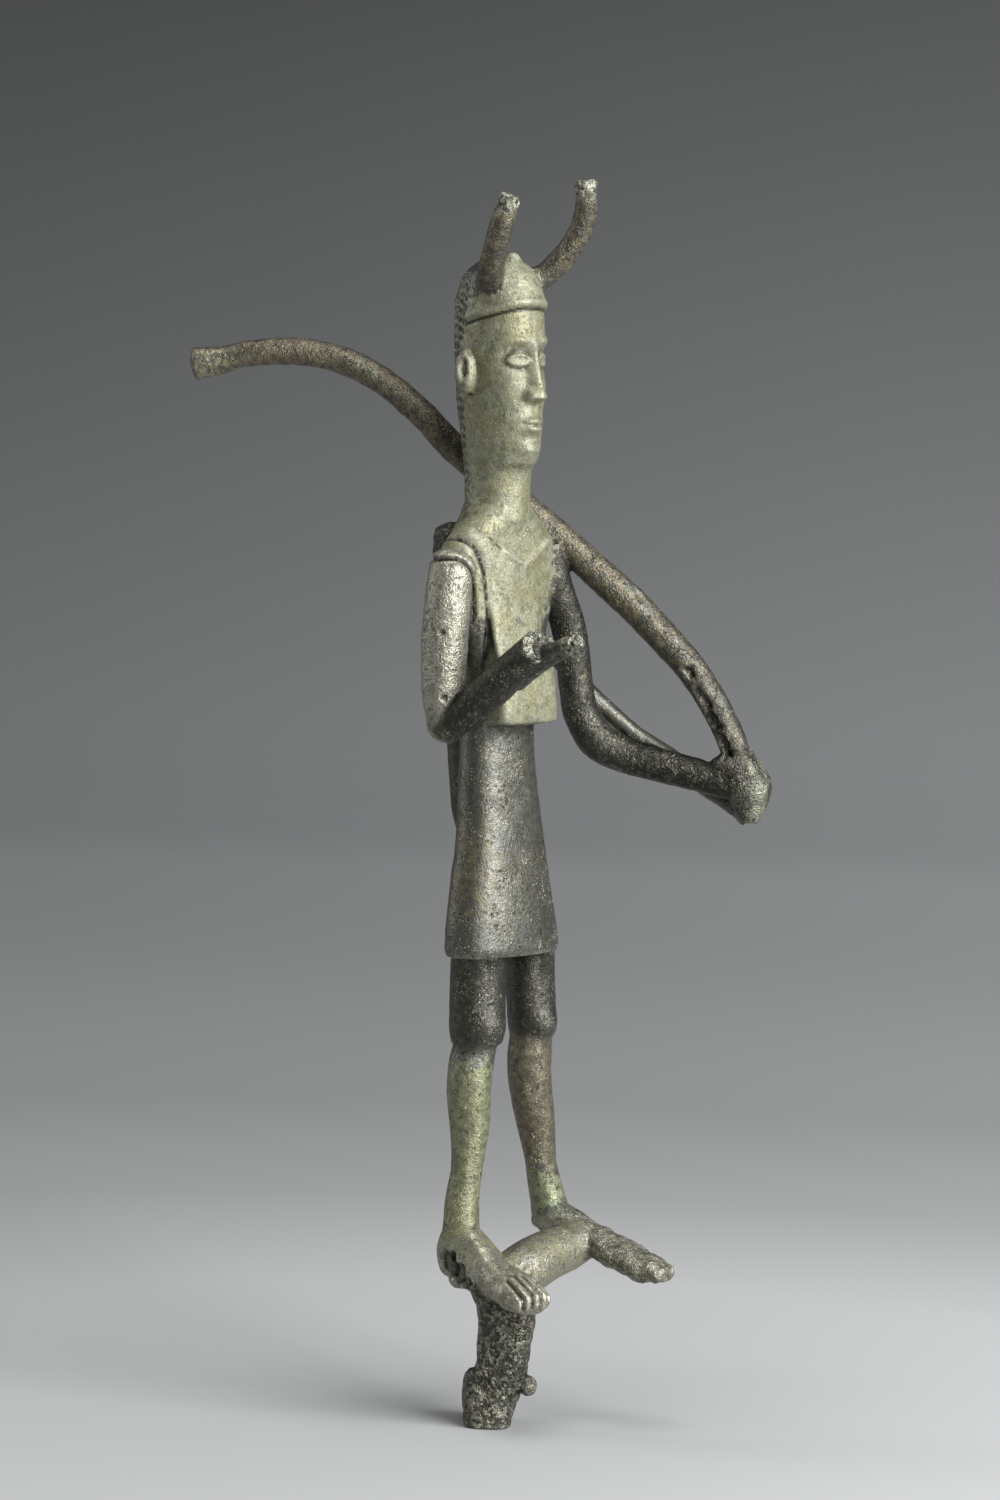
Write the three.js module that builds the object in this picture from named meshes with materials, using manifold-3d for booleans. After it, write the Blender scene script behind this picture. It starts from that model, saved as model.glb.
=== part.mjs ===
// Bronze votive figure of an archer on its casting stem, one solid casting.
// Millimetres, Z up. The figure faces -Y, its left hand is towards +X.
import * as THREE from "three";
import { mergeVertices } from "three/addons/utils/BufferGeometryUtils.js";
import Module from "manifold-3d";

const wasm = await Module();
wasm.setup();

// Stance: the figure leans to its right, over the stem under its right foot
const leanDegrees = 2.5;
const leanPivot = new THREE.Vector3(0, 0, 30);
const stemFoot = new THREE.Vector3(-5.23, -3.25, 0);

// Heights of the upright figure above the surface it stands on
const hem = 94.6;
const waist = 138;
const plateHem = 140.9;
const armpit = 160.8;
const shoulder = 176.6;
const neckFoot = 185;
const chin = 193;
const mouth = 200.5;
const noseFoot = 205;
const eyes = 213.2;
const brow = 216.8;
const capRim = 224.8;
const capTop = 233.4;

// Half thicknesses of the limbs and rods
const neckHalf = 6.1;
const neckDepth = 7.8;
const upperArmHalf = 4.6;
const forearmHalf = 3.7;
const leftArmHalf = 3.5;
const thighHalf = 5.7;
const calfHalf = 4.4;
const ankleHalf = 3.2;
const bowHalf = 3.05;
const stringHalf = 1.8;
const hornHalf = 2.6;
const barHalf = 4.7;

// Fineness of the faceting
const bodySides = 28;
const headSides = 30;
const limbSides = 12;
const rodSides = 10;
const facetTolerance = 0.11;

// Smooth value between the entries of a list, at a place from 0 to 1 along it
function along(values, place) {
  const span = values.length - 1;
  const k = Math.min(Math.floor(place * span), span - 1);
  const f = place * span - k;
  const p1 = values[k];
  const p2 = values[k + 1];
  const p0 = k > 0 ? values[k - 1] : 2 * p1 - p2;
  const p3 = k + 2 <= span ? values[k + 2] : 2 * p2 - p1;
  const bend = 2 * p0 - 5 * p1 + 4 * p2 - p3;
  const twist = 3 * p1 - p0 - 3 * p2 + p3;
  return 0.5 * (2 * p1 + (p2 - p0) * f + bend * f * f + twist * f * f * f);
}

function pick(stations, key, place) {
  return along(stations.map((s) => s[key]), place);
}

// Point of a rounded rectangle or ellipse: the squareness is 2 for an ellipse
function roundedPoint(turn, squareness) {
  const c = Math.cos(turn);
  const s = Math.sin(turn);
  const power = 2 / squareness;
  return [Math.sign(c) * Math.abs(c) ** power, Math.sign(s) * Math.abs(s) ** power];
}

// Closed solid through a row of rings with the same number of points
function solidOfRings(rings) {
  const sides = rings[0].length;
  const points = rings.flat();
  const start = points.length;
  points.push(middleOf(rings[0]), middleOf(rings[rings.length - 1]));
  const faces = [];
  for (let r = 0; r < rings.length - 1; r++) {
    for (let i = 0; i < sides; i++) {
      const a = r * sides + i;
      const b = r * sides + ((i + 1) % sides);
      faces.push(a, b, b + sides, a, b + sides, a + sides);
    }
  }
  const last = (rings.length - 1) * sides;
  for (let i = 0; i < sides; i++) {
    const j = (i + 1) % sides;
    faces.push(start, j, i, start + 1, last + i, last + j);
  }
  return solidOf(points, faces);
}

function middleOf(ring) {
  const sum = ring.reduce((total, p) => total.add(p), new THREE.Vector3());
  return sum.divideScalar(ring.length);
}

function solidOf(points, faces) {
  const flat = new Float32Array(points.length * 3);
  points.forEach((p, i) => p.toArray(flat, i * 3));
  const mesh = new wasm.Mesh({ numProp: 3, vertProperties: flat, triVerts: new Uint32Array(faces) });
  mesh.merge();
  return new wasm.Manifold(mesh);
}

// Solid of level rings, each with a half width and a half depth to front and back,
// with more of a ring's points at the front where it is crowded there
function stack(levels, { sides = bodySides, rings = 24, crowded = 0, relief = () => 0 } = {}) {
  const loops = [];
  for (let r = 0; r <= rings; r++) {
    const place = r / rings;
    const at = (key) => pick(levels, key, place);
    const loop = [];
    for (let i = 0; i < sides; i++) {
      const even = (i / sides) * 2 * Math.PI;
      const turn = even - crowded * Math.cos(even);
      const [c, s] = roundedPoint(turn, at("square"));
      const depth = s < 0 ? at("front") : at("back");
      const x = c * at("wide");
      const y = s * depth;
      const z = at("z");
      const swell = relief(x, y, z);
      const reach = Math.hypot(x, y) || 1;
      const point = new THREE.Vector3(x, y, 0).multiplyScalar(1 + swell / reach);
      loop.push(point.add(new THREE.Vector3(at("x"), at("y"), z)));
    }
    loops.push(loop);
  }
  return solidOfRings(loops);
}

// Solid along a curved middle line, its rings square to the line
function sweep(stations, { across, sides = limbSides, rings = 16, domes = [0, 0] }) {
  const middle = (place) => {
    const inside = THREE.MathUtils.clamp(place, 0, 1);
    return new THREE.Vector3(
      pick(stations, "x", inside), pick(stations, "y", inside), pick(stations, "z", inside));
  };
  const frame = (place) => {
    const ahead = middle(place + 0.01).sub(middle(place - 0.01)).normalize();
    const first = new THREE.Vector3(...across);
    first.addScaledVector(ahead, -first.dot(ahead)).normalize();
    return { ahead, first, second: ahead.clone().cross(first) };
  };
  const loops = [];
  const ring = (place, scale, shift) => {
    const { ahead, first, second } = frame(place);
    const centre = middle(place).addScaledVector(ahead, shift);
    const loop = [];
    for (let i = 0; i < sides; i++) {
      const [c, s] = roundedPoint((i / sides) * 2 * Math.PI, pick(stations, "square", place));
      loop.push(centre.clone()
        .addScaledVector(first, c * scale * pick(stations, "wide", place))
        .addScaledVector(second, s * scale * pick(stations, "deep", place)));
    }
    loops.push(loop);
  };
  const domeSteps = [[0.45, 0.9], [0.8, 0.6]];
  for (const [scale, reach] of domes[0] ? domeSteps : []) {
    ring(0, scale, -reach * domes[0]);
  }
  for (let r = 0; r <= rings; r++) {
    ring(r / rings, 1, 0);
  }
  for (const [scale, reach] of domes[1] ? [...domeSteps].reverse() : []) {
    ring(1, scale, reach * domes[1]);
  }
  return solidOfRings(loops);
}

// Station of a sweep: a point with half width, half depth and squareness
function at(x, y, z, wide, deep = wide, square = 2) {
  return { x, y, z, wide, deep, square };
}

// Level of a stack, its middle moved sideways by x and back by y
function level(z, wide, front, back = front, square = 2, x = 0, y = 0) {
  return { z, wide, front, back, square, x, y };
}

function ball(x, y, z, halves) {
  const geometry = new THREE.SphereGeometry(1, limbSides, limbSides / 2);
  geometry.deleteAttribute("normal");
  geometry.deleteAttribute("uv");
  const merged = mergeVertices(geometry, 1e-5);
  const points = [];
  for (let i = 0; i < merged.attributes.position.count; i++) {
    const p = new THREE.Vector3().fromBufferAttribute(merged.attributes.position, i);
    points.push(new THREE.Vector3(x + p.x * halves[0], y + p.y * halves[1], z + p.z * halves[2]));
  }
  return solidOf(points, [...merged.index.array]);
}

// Tunic: boxy shoulders over a narrow waist, and a skirt that flares to its hem
const tunic = stack([
  level(hem, 13, 6.9, 6.9, 2.5, 0.4),
  level(hem + 2.6, 13.4, 7.2, 7.2, 2.5, 0.4),
  level(101.4, 12.9, 7, 7, 2.5, 0.2),
  level(109.6, 11.6, 6.4, 6.4, 2.5),
  level(117.6, 10.2, 5.9, 5.9, 2.5),
  level(127.6, 9.2, 5.5, 5.5, 2.5, -0.3, 0.3),
  level(waist, 8.4, 5.3, 5.3, 2.5, -0.5, 0.4),
  level(146.6, 8.9, 5.3, 5.6, 2.5, 0, 0.2),
  level(155.6, 10.1, 5.2, 5.9, 2.6),
  level(armpit, 11.6, 5.2, 6, 2.8),
  level(165.8, 12.8, 5.2, 6, 3),
  level(171.8, 13.6, 5.2, 5.9, 3),
  level(shoulder, 13.6, 5, 5.6, 2.8),
  level(180, 11, 5.3, 6, 2.4),
  level(182.4, 8.4, 5.8, 7.4, 2.1),
  level(184.4, 6.7, 6, 8, 2),
], { rings: 26 });

// Stiff plate over the chest, standing out most at its lower edge
const plate = stack([
  level(plateHem, 7.9, 9.4, 0, 10),
  level(146.6, 8.1, 9, 0, 10),
  level(153, 8.1, 8.1, 0, 9, -0.2),
  level(armpit, 7.1, 6, 0, 6, -0.9),
  level(166.6, 9.2, 5.8, 0, 3.6),
  level(171.8, 11.2, 5.6, 0, 2.6),
  level(175.8, 11.4, 5.2, 0, 2.4),
  level(179, 9.6, 4.9, 0, 2.2),
], { rings: 14 });

// Face: a calm, even one on the usual thirds, raised on the front of the head
const eyeSpread = 3.3;
const noseReach = 2.5;
const bump = (x, halfWidth) => Math.exp(-((x / halfWidth) ** 2));
function faceRelief(x, y, z) {
  if (y > 0) {
    return 0;
  }
  const front = THREE.MathUtils.smoothstep(-y, 2, 7);
  const down = THREE.MathUtils.clamp((brow + 0.6 - z) / (brow - noseFoot), 0, 1);
  const underNose = THREE.MathUtils.smoothstep(z, noseFoot - 0.9, noseFoot + 0.9);
  const nose = (0.5 + noseReach * down) * underNose * (z < brow + 1.2 ? 1 : 0) * bump(x, 1 + 0.9 * down);
  const browRidge = 0.55 * bump(z - brow, 1.4) * bump(x, 7);
  const side = Math.abs(x) - eyeSpread;
  const socket = -0.9 * bump(z - eyes, 2.3) * bump(side, 2.5);
  const lid = 0.75 * bump(z - eyes, 1.25) * bump(side, 1.9);
  const lips = 0.65 * (bump(z - mouth - 0.9, 0.75) + bump(z - mouth + 0.9, 0.8)) * bump(x, 2.5);
  const chinBall = 0.6 * bump(z - chin - 2.2, 1.6) * bump(x, 2.6);
  const underLip = -0.35 * bump(z - mouth + 2.6, 0.9) * bump(x, 2.4);
  return front * (nose + browRidge + socket + lid + lips + chinBall + underLip);
}
const head = stack([
  level(neckFoot - 4, neckHalf, neckHalf, neckDepth),
  level(neckFoot, neckHalf, neckHalf, neckDepth),
  level(189, neckHalf, neckHalf, neckDepth),
  level(191.6, 6.1, 6.6, neckDepth, 2.1),
  level(chin, 6.1, 8.1, 8.2, 2.1),
  level(195.4, 6.2, 9, 8.4, 2.1),
  level(199, 6.6, 9.4, 8.8, 2.1),
  level(204, 7.1, 9.5, 9.4, 2.1),
  level(210, 7.5, 9.5, 9.8, 2.1),
  level(216, 7.8, 9.6, 9.9, 2.1),
  level(capRim, 7.7, 9.4, 9.5, 2.1),
], { sides: headSides, rings: 40, crowded: 0.4, relief: faceRelief });

// Ears beside the eyes and nose
const earHeight = (brow + noseFoot) / 2;
const ears = [-1, 1].map((side) => ball(side * 8, 1.4, earHeight, [2.3, 2.5, 4.4]));

// Close cap with a low rim over the brow and a small knob
const cap = stack([
  level(capRim - 2, 7.6, 9.3, 9.4, 2.1),
  level(capRim - 1.2, 7.9, 9.9, 9.6, 2.1),
  level(capRim, 7.8, 9.7, 9.5, 2.1),
  level(227.5, 7.1, 8.9, 8.7, 2.1),
  level(230.2, 6.2, 7.8, 7.7, 2),
  level(232.4, 3.9, 5.6, 4.6, 2),
  level(capTop, 1, 1.2, 1.2, 2),
], { sides: headSides, rings: 9 });
const capKnob = ball(0, -3.6, 232.4, [1.6, 1.9, 2]);

// Horns at the sides of the cap, out, forward and up, with broken tips
const hornLine = [
  [4.4, -1.8, 228.4, 1.2],
  [7.4, -4.3, 229.5, 1.02],
  [9.8, -7.5, 233.1, 0.97],
  [11.2, -9.9, 236.6, 0.93],
  [11.6, -11.9, 240.6, 0.88],
  [10.8, -13.4, 245.2, 0.82],
];
const leftHornExtra = 3.2;
const rightHornNarrower = 0.95;
const horns = [-1, 1].map((side) => {
  const outward = side < 0 ? -rightHornNarrower : 1;
  const stations = hornLine.map(([x, y, z, size]) => at(outward * x, y, z, hornHalf * size));
  if (side > 0) {
    stations.push(at(10.6, -13.3, 245.2 + leftHornExtra, hornHalf * 0.76));
  }
  return sweep(stations, { across: [0, 1, 0], sides: rodSides, rings: 8 });
});

// Right arm, bent at the elbow, the hand broken off behind the thumb
const rightUpperArm = sweep([
  at(-14, -0.6, 172.2, upperArmHalf * 0.98),
  at(-15.2, -0.7, 166, upperArmHalf),
  at(-15.7, -0.2, 157, upperArmHalf),
  at(-15.7, -0.1, 148, upperArmHalf * 0.96),
  at(-15.2, -0.4, 141.6, upperArmHalf * 0.88),
], { across: [1, 0, 0], rings: 8, domes: [3.6, 4] });
const forearmBreak = { facing: [-0.13, -0.86, 0.5], through: [-9.5, -20.6, 157.8] };
const breakDistance = forearmBreak.facing.reduce((sum, v, i) => sum + v * forearmBreak.through[i], 0);
const rightForearm = sweep([
  at(-15.4, -0.1, 141.2, forearmHalf),
  at(-14.2, -6, 145, forearmHalf),
  at(-12.4, -12, 150.1, forearmHalf * 0.98),
  at(-10.2, -18.4, 155.8, forearmHalf * 0.93),
  at(-8.4, -23.6, 160.4, forearmHalf * 0.9),
], { across: [1, 0, 0], rings: 8, domes: [2, 0] })
  .trimByPlane(forearmBreak.facing.map((v) => -v), -breakDistance);
const rightThumb = sweep([
  at(-10.4, -14.5, 150.4, 2.2),
  at(-9, -20.1, 154.5, 2.2),
  at(-7.5, -24.7, 157.1, 2),
  at(-6.6, -27.8, 158.7, 1.7),
], { across: [1, 0, 0], sides: rodSides, rings: 5, domes: [0, 1.1] });

// Left arm, hanging to the elbow and held out to the grip of the bow
const leftArm = sweep([
  at(12.4, -0.6, 176, leftArmHalf),
  at(13.3, -1.2, 171.4, leftArmHalf * 1.02),
  at(14.3, -1.7, 166.8, leftArmHalf),
  at(17.4, -2.4, 158.6, leftArmHalf),
  at(18.3, -3.1, 149, leftArmHalf),
  at(19.3, -4.5, 141, leftArmHalf * 1.06),
  at(22.3, -7.7, 135.4, leftArmHalf * 1.08),
  at(28.8, -15.2, 131.9, leftArmHalf),
  at(35.3, -23.1, 129.2, leftArmHalf * 0.93),
  at(39.4, -28, 127.6, leftArmHalf * 0.9),
], { across: [1, -1, 0], rings: 22, domes: [0, 1] });
const fist = sweep([
  at(37, -25.2, 129.4, 3.2, 3.5),
  at(40, -28.8, 130.4, 4.1, 4.7, 2.3),
  at(41.2, -30.2, 125.8, 4, 4.5, 2.3),
  at(41.4, -30.6, 120.6, 2.8, 3.1),
], { across: [1, 1, 0], rings: 7, domes: [1.4, 1.2] });

// Bow: carried over the left shoulder and behind the neck, its grip end in the fist
const bowLine = [
  [41.2, -30, 124, 0.92],
  [38.7, -27.2, 136.8, 0.95],
  [34.3, -22.4, 148.9, 1.02],
  [27.4, -14.7, 160.9, 1.08],
  [20.6, -7, 170.7, 1.09],
  [14.2, 0, 179.1, 1.03],
  [7.5, 7.3, 187.6, 0.96],
  [1.2, 14.3, 195.4, 0.94],
  [-3.4, 19.4, 202.8, 0.9],
  [-8.8, 25.4, 209.3, 0.9],
  [-14.2, 31.3, 213.2, 0.9],
  [-19.6, 37.3, 214.8, 0.9],
  [-25, 43.3, 214.7, 0.86],
  [-28.6, 47.4, 213.8, 0.84],
];
const bow = sweep(bowLine.map(([x, y, z, size]) => at(x, y, z, bowHalf * size)), {
  across: [1, 1, 0], sides: rodSides, rings: 30,
});
const bowKnob = sweep([
  at(-28, 46.7, 213.8, 2.5),
  at(-30.8, 49.7, 213, 2.9),
  at(-33.7, 52.8, 212.4, 3.4),
], { across: [1, 1, 0], sides: rodSides, rings: 3, domes: [0, 1.2] });

// Bowstring: from the fist along the arm and behind it into the back
const string = sweep([
  at(41.4, -29.2, 120.9, stringHalf * 0.9),
  at(39.9, -24.8, 124.2, stringHalf),
  at(37.4, -20.2, 127.4, stringHalf),
  at(34.6, -15.6, 132.4, stringHalf),
  at(29.7, -9.8, 137.1, stringHalf),
  at(26.6, -6.2, 141, stringHalf),
  at(23, -2, 146.4, stringHalf),
  at(18, 1.9, 153.2, stringHalf),
  at(12.6, 4.4, 159, stringHalf),
  at(7.5, 5.2, 163.6, stringHalf),
], { across: [1, 1, 0], sides: 8, rings: 16, domes: [0.8, 0.8] });

// Quiver on the back, a tapered case with a round top
const quiver = sweep([
  at(-1.9, 7.3, 119.4, 1.8, 2.6, 2.4),
  at(-1.8, 7.6, 124.4, 2.9, 3.3, 2.4),
  at(-1.7, 7.7, 135, 3.6, 3.7, 2.6),
  at(-3.2, 7.6, 150, 4.1, 3.9, 2.6),
  at(-4.8, 7.4, 166, 4.2, 3.9, 2.6),
  at(-6.1, 7.3, 178.9, 3.5, 3.8, 2.3),
], { across: [1, 0, 0], rings: 8, domes: [1, 2.2] });

// Legs: thighs end in a low overhang at the knee, shins taper to the ankle
const kneeHeight = 77;
function leg(line, thigh) {
  const knee = line[1];
  const thighPart = sweep([
    at(...line[0], thigh),
    at((line[0][0] + knee[0]) / 2, 0, (line[0][2] + knee[2]) / 2, thigh * 0.99),
    at(knee[0], knee[1], kneeHeight + 3, thigh * 0.97),
    at(knee[0], knee[1], kneeHeight + 0.4, thigh * 0.91),
  ], { across: [1, 0, 0], rings: 6, domes: [0, 0.9] });
  const calf = [0.98, 1.02, 1, 0.9].map((size) => calfHalf * size);
  const ankle = [1, 1.05, 1.2].map((size) => ankleHalf * size);
  const halves = [...calf, ...ankle];
  const shin = sweep(line.slice(1).map((p, i) => at(...p, halves[i])), {
    across: [1, 0, 0], rings: 12,
  });
  return thighPart.add(shin);
}
const rightLeg = leg([
  [-5.8, 0, hem + 3], [-6.8, -0.2, kneeHeight + 1], [-8.1, 0, 73], [-8.6, 0.2, 67], [-8.4, 0.2, 59.5],
  [-9.4, 0, 52], [-10.4, 0.2, 46], [-10.7, 0.4, 38],
], thighHalf);
const leftLeg = leg([
  [8.5, 0, hem + 3], [8.8, -0.2, kneeHeight + 1], [8.4, 0, 73], [8.8, 0.2, 67.6], [10.5, 0.2, 58.6],
  [11.6, 0, 51.6], [12.6, 0, 47], [13.6, -0.8, 40.6],
], thighHalf * 0.88);

// Feet, each a row of sections from the heel: distance, half width, sole and instep
function foot(heel, heading, sections) {
  const ahead = new THREE.Vector3(Math.sin(heading), -Math.cos(heading), 0);
  const stations = sections.map(([distance, wide, sole, instep]) => at(
    heel[0] + ahead.x * distance, heel[1] + ahead.y * distance, (sole + instep) / 2,
    wide, (instep - sole) / 2, 2.5));
  return sweep(stations, { across: [1, 0, 0], rings: 9, domes: [1, 0.8] });
}
const rightFoot = foot([-10.6, 3.9], THREE.MathUtils.degToRad(-4), [
  [0, 3, 29.8, 38],
  [3.5, 3.8, 28, 41.4],
  [8, 3.8, 27.8, 39.6],
  [13, 4, 27.6, 36.2],
  [18.4, 4.6, 27, 33.6],
  [22.6, 4.6, 26, 31.6],
  [25.6, 4, 25.6, 30],
]);
const leftFoot = foot([13, 1.8], THREE.MathUtils.degToRad(6), [
  [0, 2.2, 37, 41],
  [3.2, 3.2, 35.2, 43],
  [7.4, 3.6, 34.4, 41.8],
  [13.4, 4, 33.4, 39.3],
  [20.4, 4.2, 31.2, 36.6],
  [27.4, 4.2, 29, 34.7],
  [32.3, 3.1, 29.6, 32.8],
]);

// Casting bar from under the right foot to under the left one
const bar = sweep([
  at(-11, -11, 28.4, barHalf * 1.1),
  at(-5, -10.6, 31.8, barHalf * 1.14),
  at(2.5, -10.2, 33.9, barHalf * 1.08),
  at(8.5, -10, 34.8, barHalf),
  at(14, -9.8, 36.2, barHalf * 0.9),
], { across: [0, 1, 0], sides: 12, rings: 6, domes: [2, 2] });

function unite(solids) {
  return solids.reduce((whole, solid) => whole.add(solid));
}

// The leaning figure over the middle of its stem
const figure = unite([
  tunic, plate, head, ...ears, cap, capKnob, ...horns, rightUpperArm, rightForearm, rightThumb,
  leftArm, fist, bow, bowKnob, string, quiver, rightLeg, leftLeg, rightFoot, leftFoot, bar,
]);
const stance = new THREE.Matrix4().makeTranslation(leanPivot.clone().sub(stemFoot));
stance.multiply(new THREE.Matrix4().makeRotationY(THREE.MathUtils.degToRad(-leanDegrees)));
stance.multiply(new THREE.Matrix4().makeTranslation(leanPivot.clone().negate()));
const standing = figure.transform(stance.toArray());

// Stem: a rough bar that widens into a block with a flat underside
const turnToCorner = -45;
const block = stack([
  level(0, 4.6, 6.8, 7, 3, -0.2),
  level(1, 5, 7.2, 7.4, 3, -0.2),
  level(6.4, 5.5, 7.4, 7.6, 2.8),
  level(9.6, 5.1, 7, 6.6, 2.6),
  level(11.4, 4, 6.4, 4.6, 2.4, 0, -1),
], { sides: 20, rings: 6 });
const neckOfStem = stack([
  level(5, 4.6, 4.4, 4.4, 2.4, 1, -2),
  level(9.6, 5.1, 4.8, 4.8, 2.4, 2, -2.6),
  level(15, 5.4, 4.8, 4.8, 2.4, 2.5, -3.6),
  level(20, 5.5, 4.8, 4.8, 2.4, 2.8, -4.8),
  level(25, 6, 5, 5, 2.3, 2.8, -6),
  level(29.4, 7.6, 5.4, 5.4, 2.2, 1.6, -6.8),
], { sides: 20, rings: 7 });
const stub = ball(7.4, -4.4, 8.8, [2, 1.9, 2.2]);
const stem = block.add(neckOfStem).add(stub).rotate([0, 0, turnToCorner]);

const casting = standing.add(stem).simplify(facetTolerance);

function geometryOf(solid) {
  const { vertProperties, triVerts } = solid.getMesh();
  const geometry = new THREE.BufferGeometry();
  geometry.setAttribute("position", new THREE.BufferAttribute(vertProperties, 3));
  geometry.setIndex(new THREE.BufferAttribute(triVerts, 1));
  geometry.computeVertexNormals();
  return geometry;
}

const bronze = new THREE.MeshStandardMaterial({ color: 0x5c5a48, roughness: 0.5, metalness: 0.85 });
const statuette = new THREE.Mesh(geometryOf(casting), bronze);
statuette.name = "statuette";

const part = new THREE.Group();
part.add(statuette);

export default part;
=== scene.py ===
import itertools
import math

import bpy
import numpy as np
from mathutils import Matrix, Vector, kdtree


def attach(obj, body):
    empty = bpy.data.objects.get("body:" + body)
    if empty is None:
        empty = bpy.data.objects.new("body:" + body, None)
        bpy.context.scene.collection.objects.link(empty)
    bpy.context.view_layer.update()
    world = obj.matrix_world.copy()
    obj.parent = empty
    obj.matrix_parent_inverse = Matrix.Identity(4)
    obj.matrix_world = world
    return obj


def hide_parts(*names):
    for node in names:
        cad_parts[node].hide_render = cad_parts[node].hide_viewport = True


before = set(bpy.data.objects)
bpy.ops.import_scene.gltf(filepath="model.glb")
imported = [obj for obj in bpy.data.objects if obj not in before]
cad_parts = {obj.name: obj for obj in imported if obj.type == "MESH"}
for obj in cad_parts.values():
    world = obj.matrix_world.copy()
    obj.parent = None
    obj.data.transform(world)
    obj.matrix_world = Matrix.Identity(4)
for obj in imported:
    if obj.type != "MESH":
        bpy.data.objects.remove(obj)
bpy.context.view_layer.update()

# The stance
# The figure was cast with its bow, its quiver and the stem that the bronze was poured
# through. It stands on that stem, leaning a little to its right. Every part is modelled
# upright, in millimetres, and the whole casting is tilted over the stem at the end.
MM = 0.001
lean = math.radians(2.5)
lean_pivot = np.array([0, 0, 30.0])
stem_foot = np.array([-5.23, -3.25, 0])
lean_turn = np.array(Matrix.Rotation(-lean, 3, "Y"))


def tilted(points):
    """Upright points of the figure, moved to where they stand over the stem."""
    return (points - lean_pivot) @ lean_turn.T + lean_pivot - stem_foot


def upright(points):
    """The reverse of tilted."""
    return (points + stem_foot - lean_pivot) @ lean_turn + lean_pivot


# The tunic
# A short tunic over the body, modelled in wax as one form with it: boxy shoulders, a
# narrow waist and a flared skirt with a rolled hem. It came out of the mould as bronze.
hem, waist, armpit, shoulder = 94.6, 138, 160.8, 176.6
wax = {}


def along(stations, place):
    """Smooth rows between the rows of a table, at places from 0 to 1 along it."""
    rows = np.asarray(stations, float)
    span = len(rows) - 1
    rows = np.vstack([2 * rows[0] - rows[1], rows, 2 * rows[-1] - rows[-2]])
    k = np.minimum((place * span).astype(int), span - 1)
    f = (place * span - k)[:, None]
    p0, p1, p2, p3 = (rows[k + i] for i in range(4))
    bend = 2 * p0 - 5 * p1 + 4 * p2 - p3
    twist = 3 * p1 - p0 - 3 * p2 + p3
    return 0.5 * (2 * p1 + (p2 - p0) * f + bend * f**2 + twist * f**3)


def rounded(turn, square):
    """Points of a rounded rectangle of half size 1; a squareness of 2 gives an ellipse."""
    c, s = np.cos(turn), np.sin(turn)
    power = 2 / square
    return np.sign(c) * np.abs(c) ** power, np.sign(s) * np.abs(s) ** power


def close_rings(name, rings):
    """Adds a closed wax part through rings that have the same number of points."""
    count, sides = rings.shape[:2]
    ends = rings[0].mean(0), rings[-1].mean(0)
    index = np.arange(count * sides).reshape(count, sides)
    beside = np.roll(index, -1, axis=1)
    walls = np.stack([index[:-1], beside[:-1], beside[1:], index[1:]], axis=-1)
    start = [(count * sides, b, a) for a, b in zip(index[0], beside[0])]
    finish = [(count * sides + 1, a, b) for a, b in zip(index[-1], beside[-1])]
    faces = walls.reshape(-1, 4).tolist() + start + finish
    wax[name] = np.vstack([rings.reshape(-1, 3), ends]), faces


def level(z, wide, front, back=None, square=2.0, x=0.0, y=0.0):
    """Level ring: its height, half width, half depths, squareness and middle."""
    return z, wide, front, front if back is None else back, square, x, y


def stack(name, levels, sides=160, rings=160, relief=None):
    """Wax part of level rings, each with its half width and half depth to front and back."""
    z, wide, front, back, square, x, y = along(levels, np.linspace(0, 1, rings + 1)).T[:, :, None]
    c, s = rounded(np.linspace(0, 2 * np.pi, sides, endpoint=False)[None], square)
    ring_x = c * wide
    ring_y = s * np.where(s < 0, front, back)
    ring_z = np.broadcast_to(z, ring_x.shape)
    if relief:
        swell = 1 + relief(ring_x, ring_y, ring_z) / np.maximum(np.hypot(ring_x, ring_y), 0.1)
        ring_x, ring_y = ring_x * swell, ring_y * swell
    close_rings(name, np.stack([ring_x + x, ring_y + y, ring_z], axis=-1))


stack("tunic", [
    level(hem, 13, 6.9, 6.9, 2.5, 0.4),
    level(hem + 2.6, 13.4, 7.2, 7.2, 2.5, 0.4),
    level(101.4, 12.9, 7, 7, 2.5, 0.2),
    level(109.6, 11.6, 6.4, 6.4, 2.5),
    level(117.6, 10.2, 5.9, 5.9, 2.5),
    level(127.6, 9.2, 5.5, 5.5, 2.5, -0.3, 0.3),
    level(waist, 8.4, 5.3, 5.3, 2.5, -0.5, 0.4),
    level(146.6, 8.9, 5.3, 5.6, 2.5, 0, 0.2),
    level(155.6, 10.1, 5.2, 5.9, 2.6),
    level(armpit, 11.6, 5.2, 6, 2.8),
    level(165.8, 12.8, 5.2, 6, 3),
    level(171.8, 13.6, 5.2, 5.9, 3),
    level(shoulder, 13.6, 5, 5.6, 2.8),
    level(180, 11, 5.3, 6, 2.4),
    level(182.4, 8.4, 5.8, 7.4, 2.1),
    level(184.4, 6.7, 6, 8, 2),
])

# The chest plate
# A stiff panel that hangs over the chest from the shoulders and stands well off the waist.
# Its edges are crisp steps, so light catches its lower rim and the waist below is in shade.
plate_hem = 140.9
stack("plate", [
    level(plate_hem, 7.9, 9.4, 0, 10),
    level(146.6, 8.1, 9, 0, 10),
    level(153, 8.1, 8.1, 0, 9, -0.2),
    level(armpit, 7.1, 6, 0, 6, -0.9),
    level(166.6, 9.2, 5.8, 0, 3.6),
    level(171.8, 11.2, 5.6, 0, 2.6),
    level(175.8, 11.4, 5.2, 0, 2.4),
    level(179, 9.6, 4.9, 0, 2.2),
], rings=120)

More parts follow.
